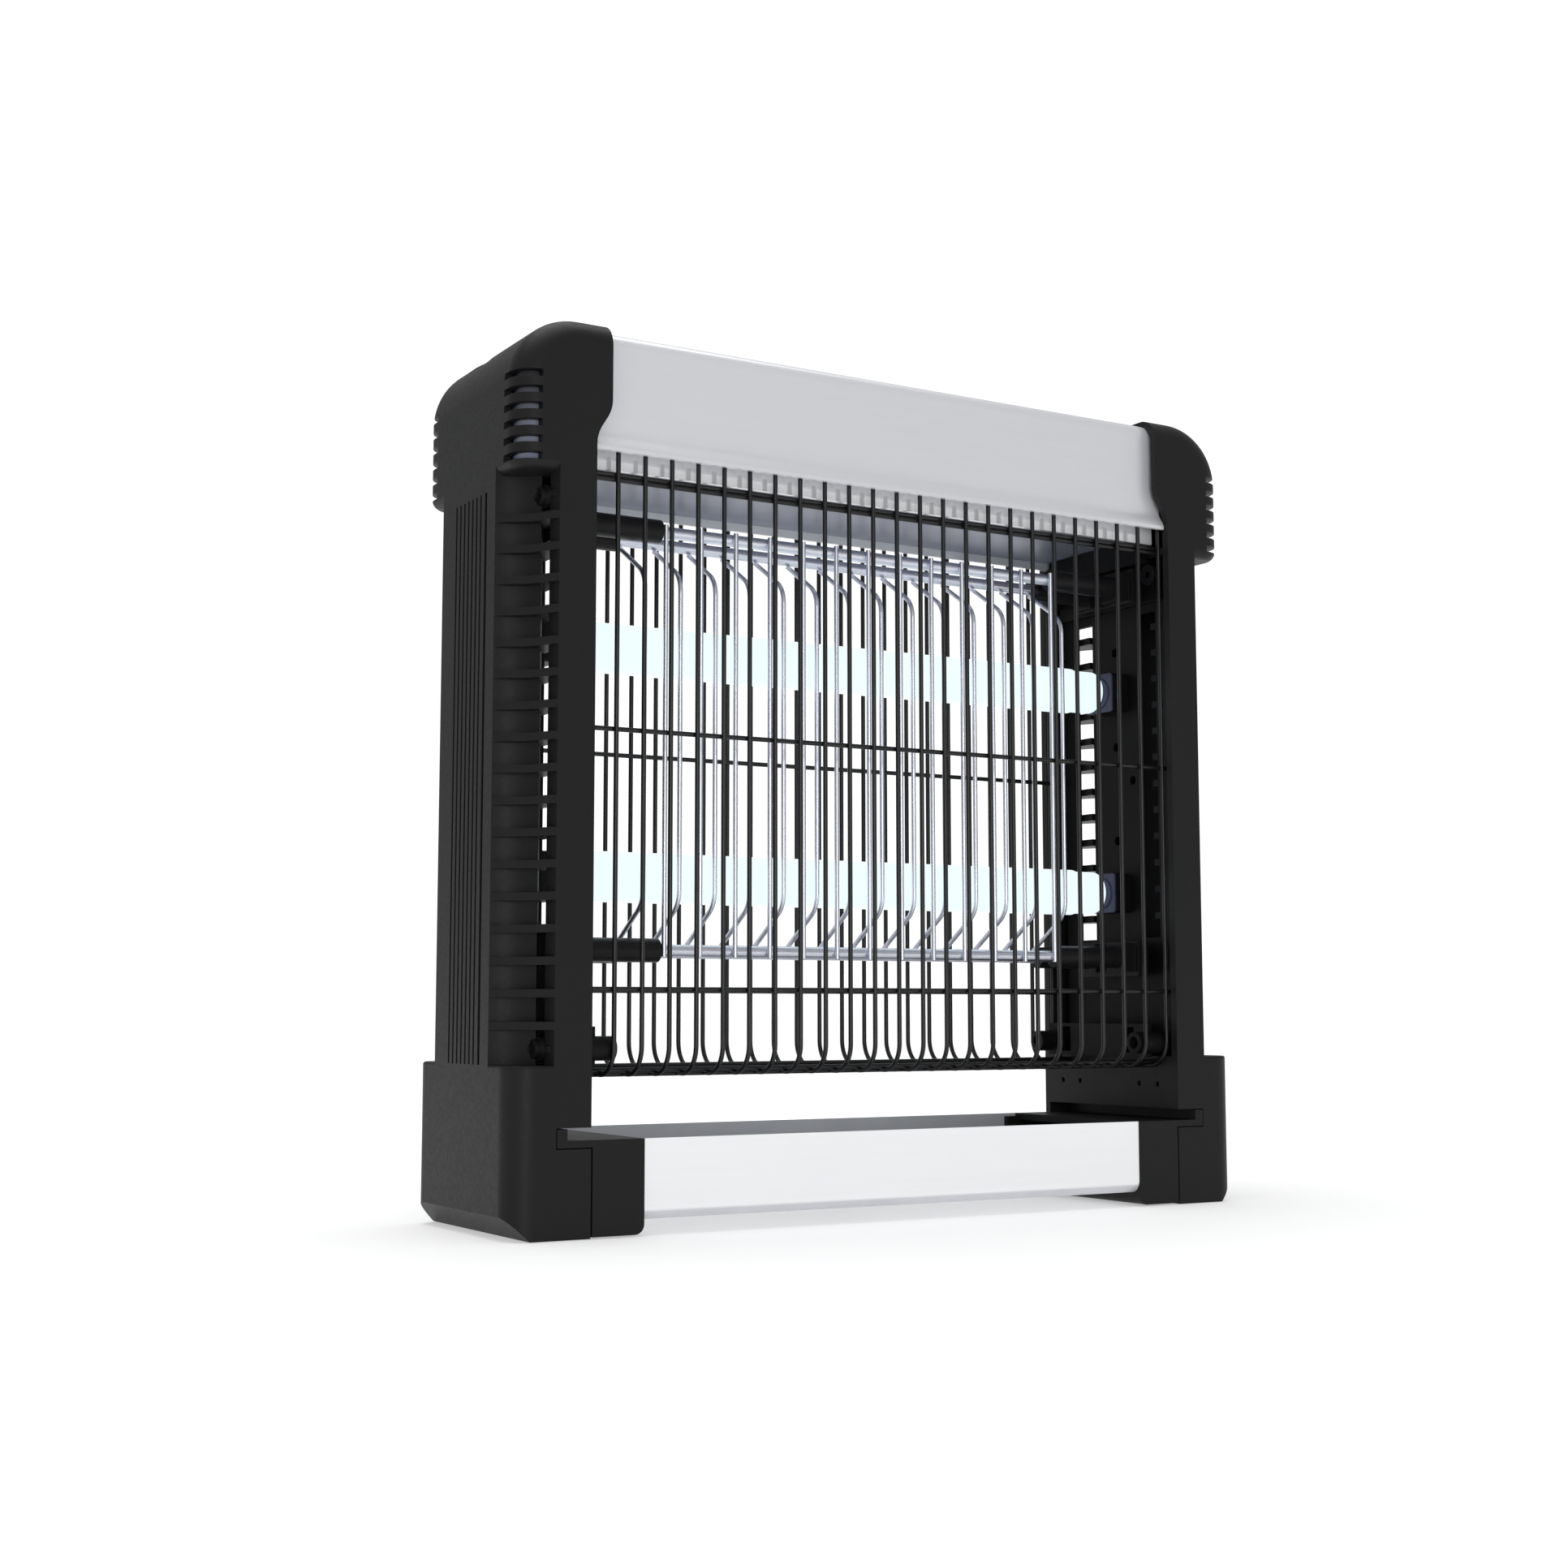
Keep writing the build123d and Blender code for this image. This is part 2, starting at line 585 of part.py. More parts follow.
def tray_end():
    """Left black end of the tray: closed top, tongue into the trough and sliding ear."""
    outer = block(-TRAY_SIDE, -TRAY_PANEL, -HALF_DEPTH, TRAY_BACK, 0.4, TRAY_TOP)
    corner = outer.edges().filter_by(Axis.Y).group_by(Axis.X)[-1].sort_by(Axis.Z)[0]
    outer = fillet(corner, 3.0)
    outer -= block(-TRAY_SIDE + 2, -TRAY_PANEL - 2, -HALF_DEPTH + 2.4, TRAY_BACK - 2.4, 2.8, TRAY_TOP - 2.4)
    low = TRAY_FLOOR + 1.4
    tongue = block(-TRAY_PANEL - 1, -TRAY_PANEL + 5, -HALF_DEPTH + 1.6, TRAY_BACK - 1.4, low, TRAY_TOP - 1)
    low_edges = tongue.edges().filter_by(Axis.X).group_by(Axis.Z)[0]
    tongue = fillet(low_edges, 2.4)
    y0 = -HALF_DEPTH + 3.4
    y1 = TRAY_BACK - 3.2
    passage = block(-TRAY_PANEL - 3, -TRAY_PANEL, y0, y1, low + 1.6, TRAY_TOP - 2.4)
    mouth = block(-TRAY_PANEL, -TRAY_PANEL + 6, y0, y1, low + 1.6, 40)
    ear = block(-EAR_OUTER, -TRAY_SIDE + 1.5, -HALF_DEPTH, TRAY_BACK, EAR_LOW, TRAY_TOP)
    upstand = block(-EAR_OUTER, -EAR_OUTER + 3.2, -HALF_DEPTH, TRAY_BACK, EAR_LOW, EAR_HIGH)
    return join([outer, tongue, ear, upstand]) - passage - mouth


# ---------------------------------------------------------------- electrics in the header
def ballast_board():
    """Printed board of the tube ballast."""
    return block(-92, -18, -20, 20, 236.2, 237.8)


def ballast_parts():
    """Capacitors, coil and transistors on the ballast board."""
    group = [rod_z(6, 237.8, 257, -82, -9), rod_z(5, 237.8, 253, -82, 8)]
    group.append(block(-70, -50, -10, 10, 237.8, 254))
    group.append(block(-42, -38, -14, -4, 237.8, 254))
    group.append(block(-42, -38, 4, 14, 237.8, 254))
    group.append(rod_z(4, 237.8, 250, -28, 0))
    return Compound(children=group)


def transformer_core():
    """Laminated core of the high-voltage transformer."""
    core = block(20, 62, -19, 19, 236.2, 262)
    window = block(27, 55, -20, 20, 242, 256)
    limb = block(36, 46, -19, 19, 236.2, 262)
    return core - window + limb


def transformer_coil():
    """Wound coil on the middle limb."""
    coil = block(27.5, 54.5, -24, 24, 242.4, 255.6)
    return coil - block(35.9, 46.1, -19.1, 19.1, 242, 256)


def terminal_block():
    """Screw terminal for the supply."""
    body = block(72, 96, -8, 8, 236.2, 248)
    for x in (78, 84, 90):
        body -= rod_z(1.8, 242, 249, x, 3)
        body -= rod_y(1.4, -9, -2, x, 242)
    return body


def standoffs():
    """Spacers that hold the electrics on the ceiling plate."""
    group = []
    z0 = CEILING_Z + PLATE
    for x, reach in ((-88, 16), (-22, 16), (24, 15), (58, 15)):
        for y in (-reach, reach):
            group.append(rod_z(3, z0, 236.2, x, y))
    for x in (76, 92):
        group.append(rod_z(3, z0, 236.2, x, 0))
    return Compound(children=group)


# ---------------------------------------------------------------- small parts
def hanging_pin(side):
    """Cross pin in the recess on top of one cap."""
    return rod_y(2.0, SLOT_Y - 9.6, SLOT_Y + 9.6, side * 123.0, 262.0)


def screws(z, x_tip):
    """Pan-head screws along X at one height, two on each side."""
    group = []
    for side in (-1, 1):
        for y in (-BOSS_Y, BOSS_Y):
            seat = side * (-BOSS_END - 1.6)
            top = seat + side * 1.3
            shank = rod_x(1.2, side * x_tip, seat, y, z)
            head = rod_x(2.2, seat, top, y, z)
            drive = block(top - side * 0.6, top + side, y - 1.5, y + 1.5, z - 0.3, z + 0.3)
            cross = block(top - side * 0.6, top + side, y - 0.3, y + 0.3, z - 1.5, z + 1.5)
            group.append(shank + head - drive - cross)
    return Compound(children=group)


def inlet_bush():
    """Grommet for the supply lead at the back of the right cap."""
    ring = rod_y(5.5, HALF_DEPTH - 2.7, HALF_DEPTH, 119, 240)
    flange = rod_y(7.0, HALF_DEPTH - 4.5, HALF_DEPTH - 2.8, 119, 240)
    return ring + flange - rod_y(3.2, 20, 40, 119, 240)


# ---------------------------------------------------------------- build
left = side_housing()
bush_hole = rod_y(5.55, 20, 40, 119, 240)
save(left, "housing_left")
save(left.mirror(Plane.YZ) - bush_hole, "housing_right")
for label, sub_part in (
    ("inner_panel", inner_panel()),
    ("cross_bracket", cross_bracket()),
    ("upper_bracket", upper_bracket()),
    ("rail_holder_lower", rail_holder(RAIL_LOW, -1)),
    ("rail_holder_upper", rail_holder(RAIL_HIGH, 1)),
    ("tray_end", tray_end()),
):
    save(sub_part, f"{label}_left")
    save(sub_part.mirror(Plane.YZ), f"{label}_right")
save(sleeves(), "rail_sleeves_left")
save(mirrored(sleeves()), "rail_sleeves_right")
save(header_shell(), "header_shell")
save(ceiling_plate(), "ceiling_plate")
front = guard()
save(front, "front_guard")
save(front.mirror(Plane.XZ), "back_guard")
save(straight_grid(), "straight_live_grid")
save(bent_grid(), "bent_live_grid")
for name, lamp_z in zip(LAMP_NAMES, LAMP_Z):
    save(lamp_glass(lamp_z), f"{name}_tube_glass")
    save(lamp_caps(lamp_z), f"{name}_tube_caps")
    save(lamp_pins(lamp_z), f"{name}_tube_pins")
    save(lamp_rotors(lamp_z), f"{name}_holder_rotors")
    save(lamp_holder(lamp_z, -1), f"{name}_holder_left")
    save(lamp_holder(lamp_z, 1), f"{name}_holder_right")
save(tray_trough(), "tray_trough")
save(ballast_board(), "ballast_board")
save(ballast_parts(), "ballast_parts")
save(transformer_core(), "transformer_core")
save(transformer_coil(), "transformer_coil")
save(terminal_block(), "terminal_block")
save(standoffs(), "board_standoffs")
save(hanging_pin(-1), "hanging_pin_left")
save(hanging_pin(1), "hanging_pin_right")
save(screws(BOSS_LOW, 104.0), "lower_side_screws")
save(screws(BOSS_HIGH, 109.5), "upper_side_screws")
save(inlet_bush(), "cord_inlet_bush")
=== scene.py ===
"""Looks of an electric insect killer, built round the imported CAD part.  Everything is in metres."""
import math

import bmesh
import bpy
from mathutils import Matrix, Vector


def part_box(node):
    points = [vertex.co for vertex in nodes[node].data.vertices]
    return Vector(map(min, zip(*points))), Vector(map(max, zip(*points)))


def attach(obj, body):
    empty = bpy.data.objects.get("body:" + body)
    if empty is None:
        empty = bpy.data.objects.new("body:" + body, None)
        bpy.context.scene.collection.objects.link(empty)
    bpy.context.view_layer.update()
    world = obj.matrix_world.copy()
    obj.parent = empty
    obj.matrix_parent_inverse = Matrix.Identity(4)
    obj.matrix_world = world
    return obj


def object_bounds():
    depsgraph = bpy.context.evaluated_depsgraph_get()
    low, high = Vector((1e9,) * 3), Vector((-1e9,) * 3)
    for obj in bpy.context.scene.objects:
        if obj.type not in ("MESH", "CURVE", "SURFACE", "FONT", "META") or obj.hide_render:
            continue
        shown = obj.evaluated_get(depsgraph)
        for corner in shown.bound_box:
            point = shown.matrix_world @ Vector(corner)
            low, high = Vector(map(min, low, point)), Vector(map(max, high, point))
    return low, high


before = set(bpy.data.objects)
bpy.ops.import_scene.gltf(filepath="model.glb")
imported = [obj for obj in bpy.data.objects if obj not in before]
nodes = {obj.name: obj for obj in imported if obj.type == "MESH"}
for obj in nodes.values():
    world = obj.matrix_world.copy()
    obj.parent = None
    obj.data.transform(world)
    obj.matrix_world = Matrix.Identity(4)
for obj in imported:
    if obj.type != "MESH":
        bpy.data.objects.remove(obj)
cad_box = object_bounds()
MM = 0.001
SIDES = {"left": -1, "right": 1}
FRAME_BODY = "zapper_frame"

SIDE_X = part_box("housing_right")[1][0]          # side face of the housings
FRONT_Y = -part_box("housing_right")[0][1]        # half depth of the housings
LAMP_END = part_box("lower_tube_caps")[1][0]      # end of the tubes
HOLDER_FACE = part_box("lower_holder_right")[0][0]
ROTOR_FACE = HOLDER_FACE - 0.6 * MM             # face of the twist-in rotors


# ---------------------------------------------------------------- camera, lights, floor
def make_camera():
    """Three-quarter view from the front left, low down, looking a little up."""
    data = bpy.data.cameras.new("camera")
    data.lens = 50.0
    data.sensor_width = 36.0
    data.clip_start = 0.01
    data.clip_end = 50.0
    camera = bpy.data.objects.new("camera", data)
    camera.location = (-0.38377, -0.60787, 0.06579)
    camera.rotation_euler = (math.radians(90 + 5.855), 0.0, math.radians(-30.641))
    bpy.context.collection.objects.link(camera)
    bpy.context.scene.camera = camera


def area_light(name, place, target, size, power):
    """Soft box at a place, aimed at a target."""
    data = bpy.data.lights.new(name, "AREA")
    data.shape = "RECTANGLE"
    data.size, data.size_y = size
    data.energy = power
    light = bpy.data.objects.new(name, data)
    light.location = place
    direction = Vector(target) - Vector(place)
    light.rotation_euler = direction.to_track_quat("-Z", "Y").to_euler()
    bpy.context.collection.objects.link(light)


def make_world():
    """White behind the object, and a dimmer even light on it."""
    world = bpy.data.worlds.new("studio")
    bpy.context.scene.world = world
    world.use_nodes = True
    tree = world.node_tree
    light = tree.nodes["Background"]
    light.inputs["Color"].default_value = (0.98, 0.99, 1.0, 1.0)
    light.inputs["Strength"].default_value = 0.5
    backdrop = tree.nodes.new("ShaderNodeBackground")
    backdrop.inputs["Color"].default_value = (1.0, 1.0, 1.0, 1.0)
    backdrop.inputs["Strength"].default_value = 1.1
    path = tree.nodes.new("ShaderNodeLightPath")
    mix = tree.nodes.new("ShaderNodeMixShader")
    tree.links.new(path.outputs["Is Camera Ray"], mix.inputs["Fac"])
    tree.links.new(light.outputs["Background"], mix.inputs[1])
    tree.links.new(backdrop.outputs["Background"], mix.inputs[2])
    tree.links.new(mix.outputs["Shader"], tree.nodes["World Output"].inputs["Surface"])


def make_floor():
    """Large pale floor just below the feet."""
    mesh = bpy.data.meshes.new("floor")
    half = 12.0
    corners = [(-half, -half, 0), (half, -half, 0), (half, half, 0), (-half, half, 0)]
    mesh.from_pydata(corners, [], [(0, 1, 2, 3)])
    floor = bpy.data.objects.new("floor", mesh)
    floor.location.z = cad_box[0][2] - 0.2 * MM
    bpy.context.collection.objects.link(floor)
    floor.data.materials.append(floor_material())


def make_studio():
    """World, floor and soft boxes."""
    make_world()
    make_floor()
    area_light("overhead", (-0.1, 0.1, 1.3), (0, 0, 0.15), (1.2, 1.0), 8.0)
    area_light("front", (-0.45, -1.5, 0.22), (-0.04, 0, 0.10), (0.5, 0.5), 4.6)
    bpy.context.scene.view_settings.view_transform = "Standard"


# ---------------------------------------------------------------- material helpers
class Nodes:
    """Short calls for building one material."""

    SOCKETS = {
        "metallic": "Metallic", "specular": "Specular IOR Level",
        "roughness": "Roughness", "strength": "Emission Strength",
    }

    def __init__(self, name):
        self.material = bpy.data.materials.new(name)
        self.material.use_nodes = True
        self.tree = self.material.node_tree
        self.shader = self.tree.nodes["Principled BSDF"]

    def add(self, kind, **values):
        """New node with its properties or inputs set."""
        node = self.tree.nodes.new(kind)
        for key, value in values.items():
            if key in node.inputs:
                node.inputs[key].default_value = value
            else:
                setattr(node, key, value)
        return node

    def link(self, source, target):
        """Connect two sockets."""
        self.tree.links.new(source, target)

    def set(self, **values):
        """Constant values on the shader's own sockets."""
        for key, value in values.items():
            self.shader.inputs[self.SOCKETS[key]].default_value = value

    def place(self, stretch=(1, 1, 1)):
        """Object coordinates in metres, stretched."""
        coordinates = self.add("ShaderNodeTexCoord")
        mapping = self.add("ShaderNodeMapping")
        mapping.inputs["Scale"].default_value = stretch
        self.link(coordinates.outputs["Object"], mapping.inputs["Vector"])
        return mapping.outputs["Vector"]

    def axis(self, name):
        """Place along one axis."""
        split = self.add("ShaderNodeSeparateXYZ")
        self.link(self.place(), split.inputs["Vector"])
        return split.outputs[name]

    def reach(self, name, middle=0.0):
        """Distance along one axis from a middle."""
        shift = self.add("ShaderNodeMath", operation="SUBTRACT")
        shift.inputs[1].default_value = middle
        self.link(self.axis(name), shift.inputs[0])
        size = self.add("ShaderNodeMath", operation="ABSOLUTE")
        self.link(shift.outputs["Value"], size.inputs[0])
        return size.outputs["Value"]

    def noise(self, scale, detail=3.0, roughness=0.5, stretch=(1, 1, 1)):
        """Noise value with features about 1/scale metres across."""
        node = self.add("ShaderNodeTexNoise", Scale=scale, Detail=detail, Roughness=roughness)
        self.link(self.place(stretch), node.inputs["Vector"])
        return node.outputs["Fac"]

    def ramp(self, value, low, high, start=0.3, end=0.7):
        """Colour from a value, from low to high."""
        node = self.add("ShaderNodeValToRGB")
        node.color_ramp.elements[0].position = start
        node.color_ramp.elements[0].color = (*low, 1.0)
        node.color_ramp.elements[1].position = end
        node.color_ramp.elements[1].color = (*high, 1.0)
        self.link(value, node.inputs["Fac"])
        return node.outputs["Color"]

    def span(self, value, low, high, start=0.3, end=0.7):
        """Number from a value, from low to high."""
        node = self.add("ShaderNodeMapRange")
        node.inputs["From Min"].default_value = start
        node.inputs["From Max"].default_value = end
        node.inputs["To Min"].default_value = low
        node.inputs["To Max"].default_value = high
        self.link(value, node.inputs["Value"])
        return node.outputs["Result"]

    def blend(self, factor, first, second):
        """Colour between two linked colours."""
        node = self.add("ShaderNodeMix", data_type="RGBA")
        self.link(factor, node.inputs[0])
        self.link(first, node.inputs[6])
        self.link(second, node.inputs[7])
        return node.outputs[2]

    def relief(self, height, depth, soft_edge=0.0):
        """Bump of a given depth in metres, over edges softened by a radius in metres."""
        bump = self.add("ShaderNodeBump", Distance=depth, Strength=1.0)
        self.link(height, bump.inputs["Height"])
        if soft_edge:
            bevel = self.add("ShaderNodeBevel", samples=4, Radius=soft_edge)
            self.link(bevel.outputs["Normal"], bump.inputs["Normal"])
        self.link(bump.outputs["Normal"], self.shader.inputs["Normal"])

    def colour(self, socket):
        """Base colour."""
        self.link(socket, self.shader.inputs["Base Color"])

    def glow(self, socket, strength):
        """Emitted colour."""
        self.link(socket, self.shader.inputs["Emission Color"])
        self.set(strength=strength)

    def rough(self, socket):
        """Roughness."""
        self.link(socket, self.shader.inputs["Roughness"])


# ---------------------------------------------------------------- materials
def moulded_plastic(name, dark, light, rough=(0.40, 0.50), specular=0.16, grain=0.006 * MM, edge=0.35 * MM):
    """Moulded plastic with a fine spark-eroded grain and faint flow marks."""
    m = Nodes(name)
    m.colour(m.ramp(m.noise(60.0, 3.0, 0.5, (1.0, 1.0, 0.4)), dark, light, 0.1, 0.9))
    m.rough(m.span(m.noise(900.0, 3.0, 0.6), *rough))
    m.set(specular=specular)
    m.relief(m.noise(3200.0, 2.0, 0.6), grain, edge)
    return m.material


def header_sheet():
    """Silver painted extrusion, with a brighter, glossier guard flange under the lip."""
    m = Nodes("header_sheet")
    lines = m.noise(24.0, 4.0, 0.5, (1.0, 50.0, 50.0))
    paint = m.ramp(lines, (0.735, 0.74, 0.765), (0.75, 0.755, 0.78))
    plated = m.ramp(lines, (0.88, 0.89, 0.91), (0.91, 0.915, 0.93))
    flange = m.span(m.reach("Y"), 1.0, 0.0, 28.6 * MM, 29.4 * MM)
    m.colour(m.blend(flange, paint, plated))
    m.rough(m.span(flange, 0.33, 0.12, 0.0, 1.0))
    m.set(metallic=0.45, specular=0.5)
    m.relief(lines, 0.0006 * MM)
    return m.material


def tray_sheet():
    """Satin trough: bright outside, painted darker inside as painted shade on the inner walls."""
    m = Nodes("tray_sheet")
    low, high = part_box("tray_trough")
    middle, half = (low[1] + high[1]) / 2, (high[1] - low[1]) / 2
    lines = m.noise(24.0, 4.0, 0.5, (1.0, 50.0, 50.0))
    outside = m.ramp(lines, (0.915, 0.92, 0.935), (0.93, 0.935, 0.95))
    # painted shade: the inner walls get a darker grey than the outside, mottled by noise
    painted_inside_shade = m.ramp(m.noise(70.0, 5.0, 0.6), (0.56, 0.57, 0.60), (0.62, 0.63, 0.66))
    skin = m.span(m.reach("Y", middle), 0.0, 1.0, half - 0.4 * MM, half - 0.1 * MM)
    m.colour(m.blend(skin, painted_inside_shade, outside))
    m.rough(m.span(m.noise(50.0, 4.0, 0.5), 0.28, 0.36))
    m.set(metallic=0.2, specular=0.5)
    m.relief(lines, 0.0006 * MM)
    return m.material


def satin_sheet(name, dark, light, metallic, rough, brush=(1.0, 50.0, 50.0)):
    """Plain sheet with faint drawing lines."""
    m = Nodes(name)
    lines = m.noise(24.0, 6.0, 0.6, brush)
    m.colour(m.ramp(lines, dark, light))
    m.rough(m.span(m.noise(55.0, 4.0, 0.5), *rough))
    m.set(metallic=metallic)
    m.relief(lines, 0.003 * MM)
    return m.material


def plated_wire(name, dark, light, rough):
    """Bright plated wire with faint drawing marks."""
    m = Nodes(name)
    marks = m.noise(160.0, 3.0, 0.5, (1.0, 1.0, 0.1))
    m.colour(m.ramp(marks, dark, light))
    m.rough(m.span(marks, *rough))
    m.set(metallic=1.0)
    return m.material


def coated_wire():
    """Black dip-coated wire, a little glossier than the mouldings."""
    m = Nodes("coated_guard_wire")
    m.colour(m.ramp(m.noise(90.0), (0.004, 0.004, 0.005), (0.009, 0.009, 0.010)))
    m.rough(m.span(m.noise(300.0, 3.0), 0.28, 0.40))
    m.set(specular=0.4)
    return m.material


def lit_glass():
    """Glowing tube with its end caps, a little dimmer towards the ends."""
    m = Nodes("lit_tube")
    m.colour(m.ramp(m.noise(120.0), (0.02, 0.02, 0.02), (0.03, 0.03, 0.03)))
    share = m.span(m.reach("X"), 0.0, 1.0, 0.0, LAMP_END)
    m.glow(m.ramp(share, (0.87, 1.0, 1.0), (0.84, 0.98, 1.0), 0.8, 1.0), 1.0)
    m.rough(m.span(m.noise(60.0), 0.3, 0.4))
    m.set(specular=0.1)
    return m.material


def collar_plastic():
    """White insulating collar between the pins, with a painted glow standing in for the tube's light shining
    through it.
    """
    m = Nodes("tube_collar")
    tint = m.ramp(m.noise(400.0), (0.86, 0.87, 0.88), (0.90, 0.91, 0.92))
    m.colour(tint)
    # painted glow: the collar is no lamp; this emission stands in for the tube's light
    m.glow(tint, 0.5)
    m.rough(m.span(m.noise(600.0), 0.35, 0.45))
    return m.material


def holder_plastic():
    """Lampholder: blue-grey front plate; its sides behind the plate are painted near-black as painted shade.
    """
    m = Nodes("holder_moulding")
    grain = m.noise(500.0, 3.0)
    plate = m.ramp(grain, (0.045, 0.05, 0.085), (0.055, 0.06, 0.10))
    # painted shade: the holder's sides, from just behind the face plate, get a near-black colour
    body = m.ramp(grain, (0.004, 0.004, 0.005), (0.006, 0.006, 0.007))
    depth = m.span(m.reach("X"), 0.0, 1.0, HOLDER_FACE + 0.5 * MM, HOLDER_FACE + 0.7 * MM)
    m.colour(m.blend(depth, plate, body))
    m.rough(m.span(grain, 0.4, 0.5))
    m.set(specular=0.15)
    m.relief(m.noise(2500.0, 2.0), 0.01 * MM)
    return m.material


def liner_metal():
    """Grey liner behind the cap vents, darker towards the top as painted shade under the cap's top."""
    m = Nodes("vent_liner")
    # painted shade: blue-grey low down fading to near-black at the top of the vents
    height = m.span(m.axis("Z"), 0.0, 1.0, 226 * MM, 252 * MM)
    m.colour(m.ramp(height, (0.30, 0.32, 0.43), (0.06, 0.06, 0.07), 0.0, 1.0))
    m.rough(m.span(m.noise(300.0), 0.45, 0.6))
    m.relief(m.noise(700.0), 0.01 * MM)
    return m.material


def floor_material():
    """White glowing floor, its glow weaker near the object as a painted shadow under it."""
    m = Nodes("studio_floor")
    m.colour(m.ramp(m.noise(3.0), (0.72, 0.72, 0.72), (0.74, 0.74, 0.74)))
    # painted shadow: the glow rises from 0.42 near the object to 0.64 beyond 0.6 m
    distance = m.add("ShaderNodeVectorMath", operation="LENGTH")
    m.link(m.place(), distance.inputs[0])
    share = m.span(distance.outputs["Value"], 0.0, 1.0, 0.12, 0.60)
    m.glow(m.ramp(share, (0.42, 0.42, 0.42), (0.64, 0.64, 0.64), 0.0, 1.0), 1.0)
    m.set(roughness=0.7, specular=0.1)
    return m.material


def board_material():
    """Green circuit board with faint tracks."""
    m = Nodes("circuit_board")
    weave = m.noise(420.0, 2.0, 0.5, (1.0, 3.0, 1.0))
    m.colour(m.ramp(weave, (0.01, 0.06, 0.025), (0.03, 0.12, 0.05)))
    m.rough(m.span(weave, 0.3, 0.5))
    m.relief(weave, 0.04 * MM)
    return m.material


def winding_material():
    """Enamelled copper winding with fine turns."""
    m = Nodes("copper_winding")
    wave = m.add("ShaderNodeTexWave", Scale=700.0, Distortion=0.6, bands_direction="Z")
    m.link(m.place(), wave.inputs["Vector"])
    turns = wave.outputs["Fac"]
    m.colour(m.ramp(turns, (0.18, 0.05, 0.015), (0.48, 0.17, 0.05), 0.1, 0.9))
    m.rough(m.span(turns, 0.5, 0.25))
    m.set(metallic=0.7)
    m.relief(turns, 0.15 * MM)
    return m.material


def assign(material, *names):
    """Give CAD nodes a material."""
    for name in names:
        node = nodes[name]
        node.data.materials.clear()
        node.data.materials.append(material)


def both(name):
    """Left and right names."""
    return [f"{name}_{side}" for side in SIDES]


def finish_cad_nodes():
    """Materials of the carried-over CAD nodes."""
    body = moulded_plastic("black_moulding", (0.0095, 0.0095, 0.0100), (0.0110, 0.0110, 0.0115))
    inner = moulded_plastic(
        "black_inner_moulding", (0.004, 0.004, 0.0045), (0.006, 0.006, 0.0065), specular=0.12
    )
    sleeve = moulded_plastic("insulating_sleeve", (0.008, 0.008, 0.009), (0.011, 0.011, 0.012), (0.28, 0.36))
    white = moulded_plastic("white_moulding", (0.66, 0.66, 0.64), (0.74, 0.74, 0.72), specular=0.4)
    rubber = moulded_plastic("black_rubber", (0.010, 0.010, 0.010), (0.016, 0.016, 0.016), (0.6, 0.8))
    screw = plated_wire("blackened_screw", (0.04, 0.04, 0.045), (0.07, 0.07, 0.075), (0.35, 0.45))
    live = plated_wire("plated_live_wire", (0.72, 0.74, 0.82), (0.76, 0.78, 0.86), (0.28, 0.36))
    pin = plated_wire("plated_pin", (0.60, 0.50, 0.30), (0.75, 0.64, 0.40), (0.2, 0.35))
    ceiling = satin_sheet("ceiling_sheet", (0.20, 0.215, 0.28), (0.23, 0.245, 0.315), 0.3, (0.3, 0.4))
    laminations = (60.0, 1.0, 60.0)
    core = satin_sheet(
        "laminated_core", (0.10, 0.10, 0.11), (0.22, 0.22, 0.23), 0.8, (0.4, 0.6), laminations
    )
    assign(body, *both("housing"), *both("tray_end"))
    assign(inner, *both("inner_panel"), *both("cross_bracket"), *both("upper_bracket"))
    assign(sleeve, *both("rail_sleeves"), *both("rail_holder_lower"), *both("rail_holder_upper"))
    assign(sleeve, "ballast_parts")
    holder = holder_plastic()
    assign(holder, *both("lower_holder"), *both("upper_holder"))
    assign(holder, "lower_holder_rotors", "upper_holder_rotors")
    assign(header_sheet(), "header_shell")
    assign(ceiling, "ceiling_plate")
    assign(tray_sheet(), "tray_trough")
    assign(coated_wire(), "front_guard", "back_guard")
    assign(live, "straight_live_grid", "bent_live_grid")
    assign(lit_glass(), "lower_tube_glass", "upper_tube_glass", "lower_tube_caps", "upper_tube_caps")
    assign(pin, "lower_tube_pins", "upper_tube_pins")
    assign(screw, "lower_side_screws", "upper_side_screws", *both("hanging_pin"))
    assign(board_material(), "ballast_board")
    assign(core, "transformer_core")
    assign(winding_material(), "transformer_coil")
    assign(white, "terminal_block", "board_standoffs")
    assign(rubber, "cord_inlet_bush")


# ---------------------------------------------------------------- added pieces
def add_piece(name, mesh, material, body):
    """Put a finished bmesh in the scene, riding on a body."""
    data = bpy.data.meshes.new(name)
    bmesh.ops.recalc_face_normals(mesh, faces=mesh.faces)
    mesh.to_mesh(data)
    mesh.free()
    for polygon in data.polygons:
        polygon.use_smooth = True
    piece = bpy.data.objects.new(name, data)
    piece.data.materials.append(material)
    bpy.context.collection.objects.link(piece)
    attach(piece, body)


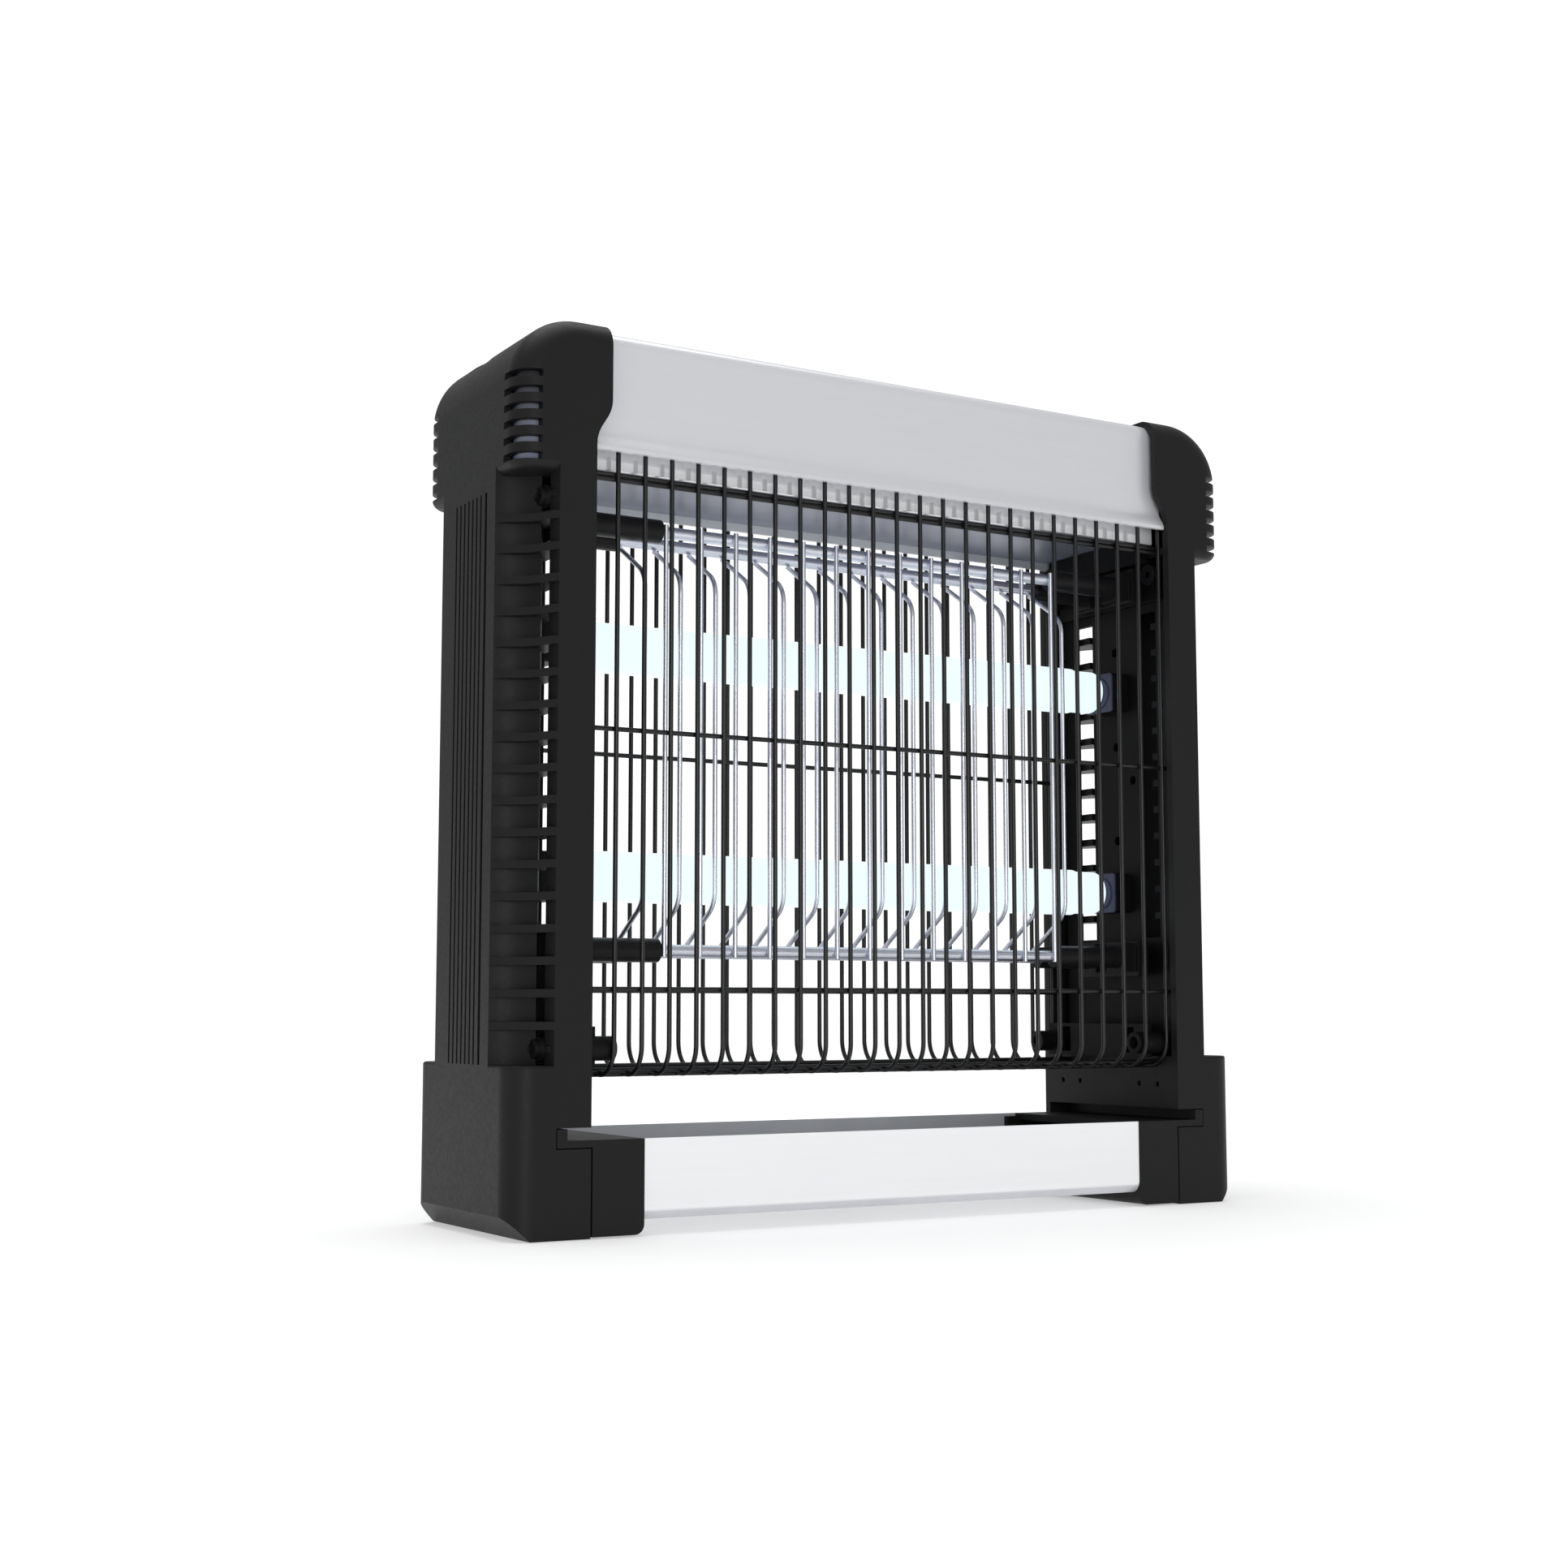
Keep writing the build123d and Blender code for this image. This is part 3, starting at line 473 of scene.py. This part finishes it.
def vent_liner(side, end):
    """Thin curved liner behind one stack of corner vents; side is -1 or 1 in X, end in Y."""
    inset = 3.3 * MM
    thick = 0.7 * MM
    corner = 7.8 * MM
    low, high = 225.4 * MM, 253.5 * MM
    reach = 6.0 * MM
    centre = (SIDE_X - corner, FRONT_Y - corner)
    steps = 10
    rows = []
    for radius in (corner - inset, corner - inset - thick):
        row = [(centre[0] + radius, centre[1] - reach)]
        for step in range(steps + 1):
            angle = math.pi / 2 * step / steps
            row.append((centre[0] + radius * math.cos(angle), centre[1] + radius * math.sin(angle)))
        row.append((centre[0] - 0.2 * MM, centre[1] + radius))
        rows.append(row)
    outline = rows[0] + rows[1][::-1]
    mesh = bmesh.new()
    rings = [[mesh.verts.new((side * x, end * y, z)) for x, y in outline] for z in (low, high)]
    count = len(outline)
    for index in range(count):
        after = (index + 1) % count
        mesh.faces.new((rings[0][index], rings[0][after], rings[1][after], rings[1][index]))
    for ring in rings:
        for index in range(count // 2 - 1):
            mesh.faces.new((ring[index], ring[index + 1], ring[count - 2 - index], ring[count - 1 - index]))
    return mesh


def collar(side, height):
    """Domed collar between one tube end and its rotor, turned about the tube's axis."""
    radius = 3.75 * MM
    rise = ROTOR_FACE - LAMP_END - 0.2 * MM
    levels = 7
    around = 28
    turns = [2 * math.pi * k / around for k in range(around)]
    mesh = bmesh.new()
    rings = []
    for level in range(levels):
        angle = math.pi / 2 * level / levels
        r = radius * math.cos(angle)
        x = side * (LAMP_END + rise * math.sin(angle))
        rings.append([mesh.verts.new((x, r * math.cos(t), height + r * math.sin(t))) for t in turns])
    for first, second in zip(rings, rings[1:]):
        for k in range(around):
            after = (k + 1) % around
            mesh.faces.new((first[k], first[after], second[after], second[k]))
    tip = mesh.verts.new((side * (LAMP_END + rise), 0, height))
    for k in range(around):
        mesh.faces.new((rings[-1][k], rings[-1][(k + 1) % around], tip))
    mesh.faces.new(rings[0])
    return mesh


def add_pieces():
    """Vent liners in the caps and collars on the tube ends."""
    liner = liner_metal()
    white = collar_plastic()
    for side_name, side in SIDES.items():
        for end_name, end in (("front", -1), ("rear", 1)):
            name = f"vent_liner_{end_name}_{side_name}"
            add_piece(name, vent_liner(side, end), liner, FRAME_BODY)
        for lamp in ("lower", "upper"):
            low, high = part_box(f"{lamp}_tube_glass")
            mesh = collar(side, (low[2] + high[2]) / 2)
            add_piece(f"{lamp}_tube_collar_{side_name}", mesh, white, f"{lamp}_lamp")


make_camera()
make_studio()
finish_cad_nodes()
add_pieces()
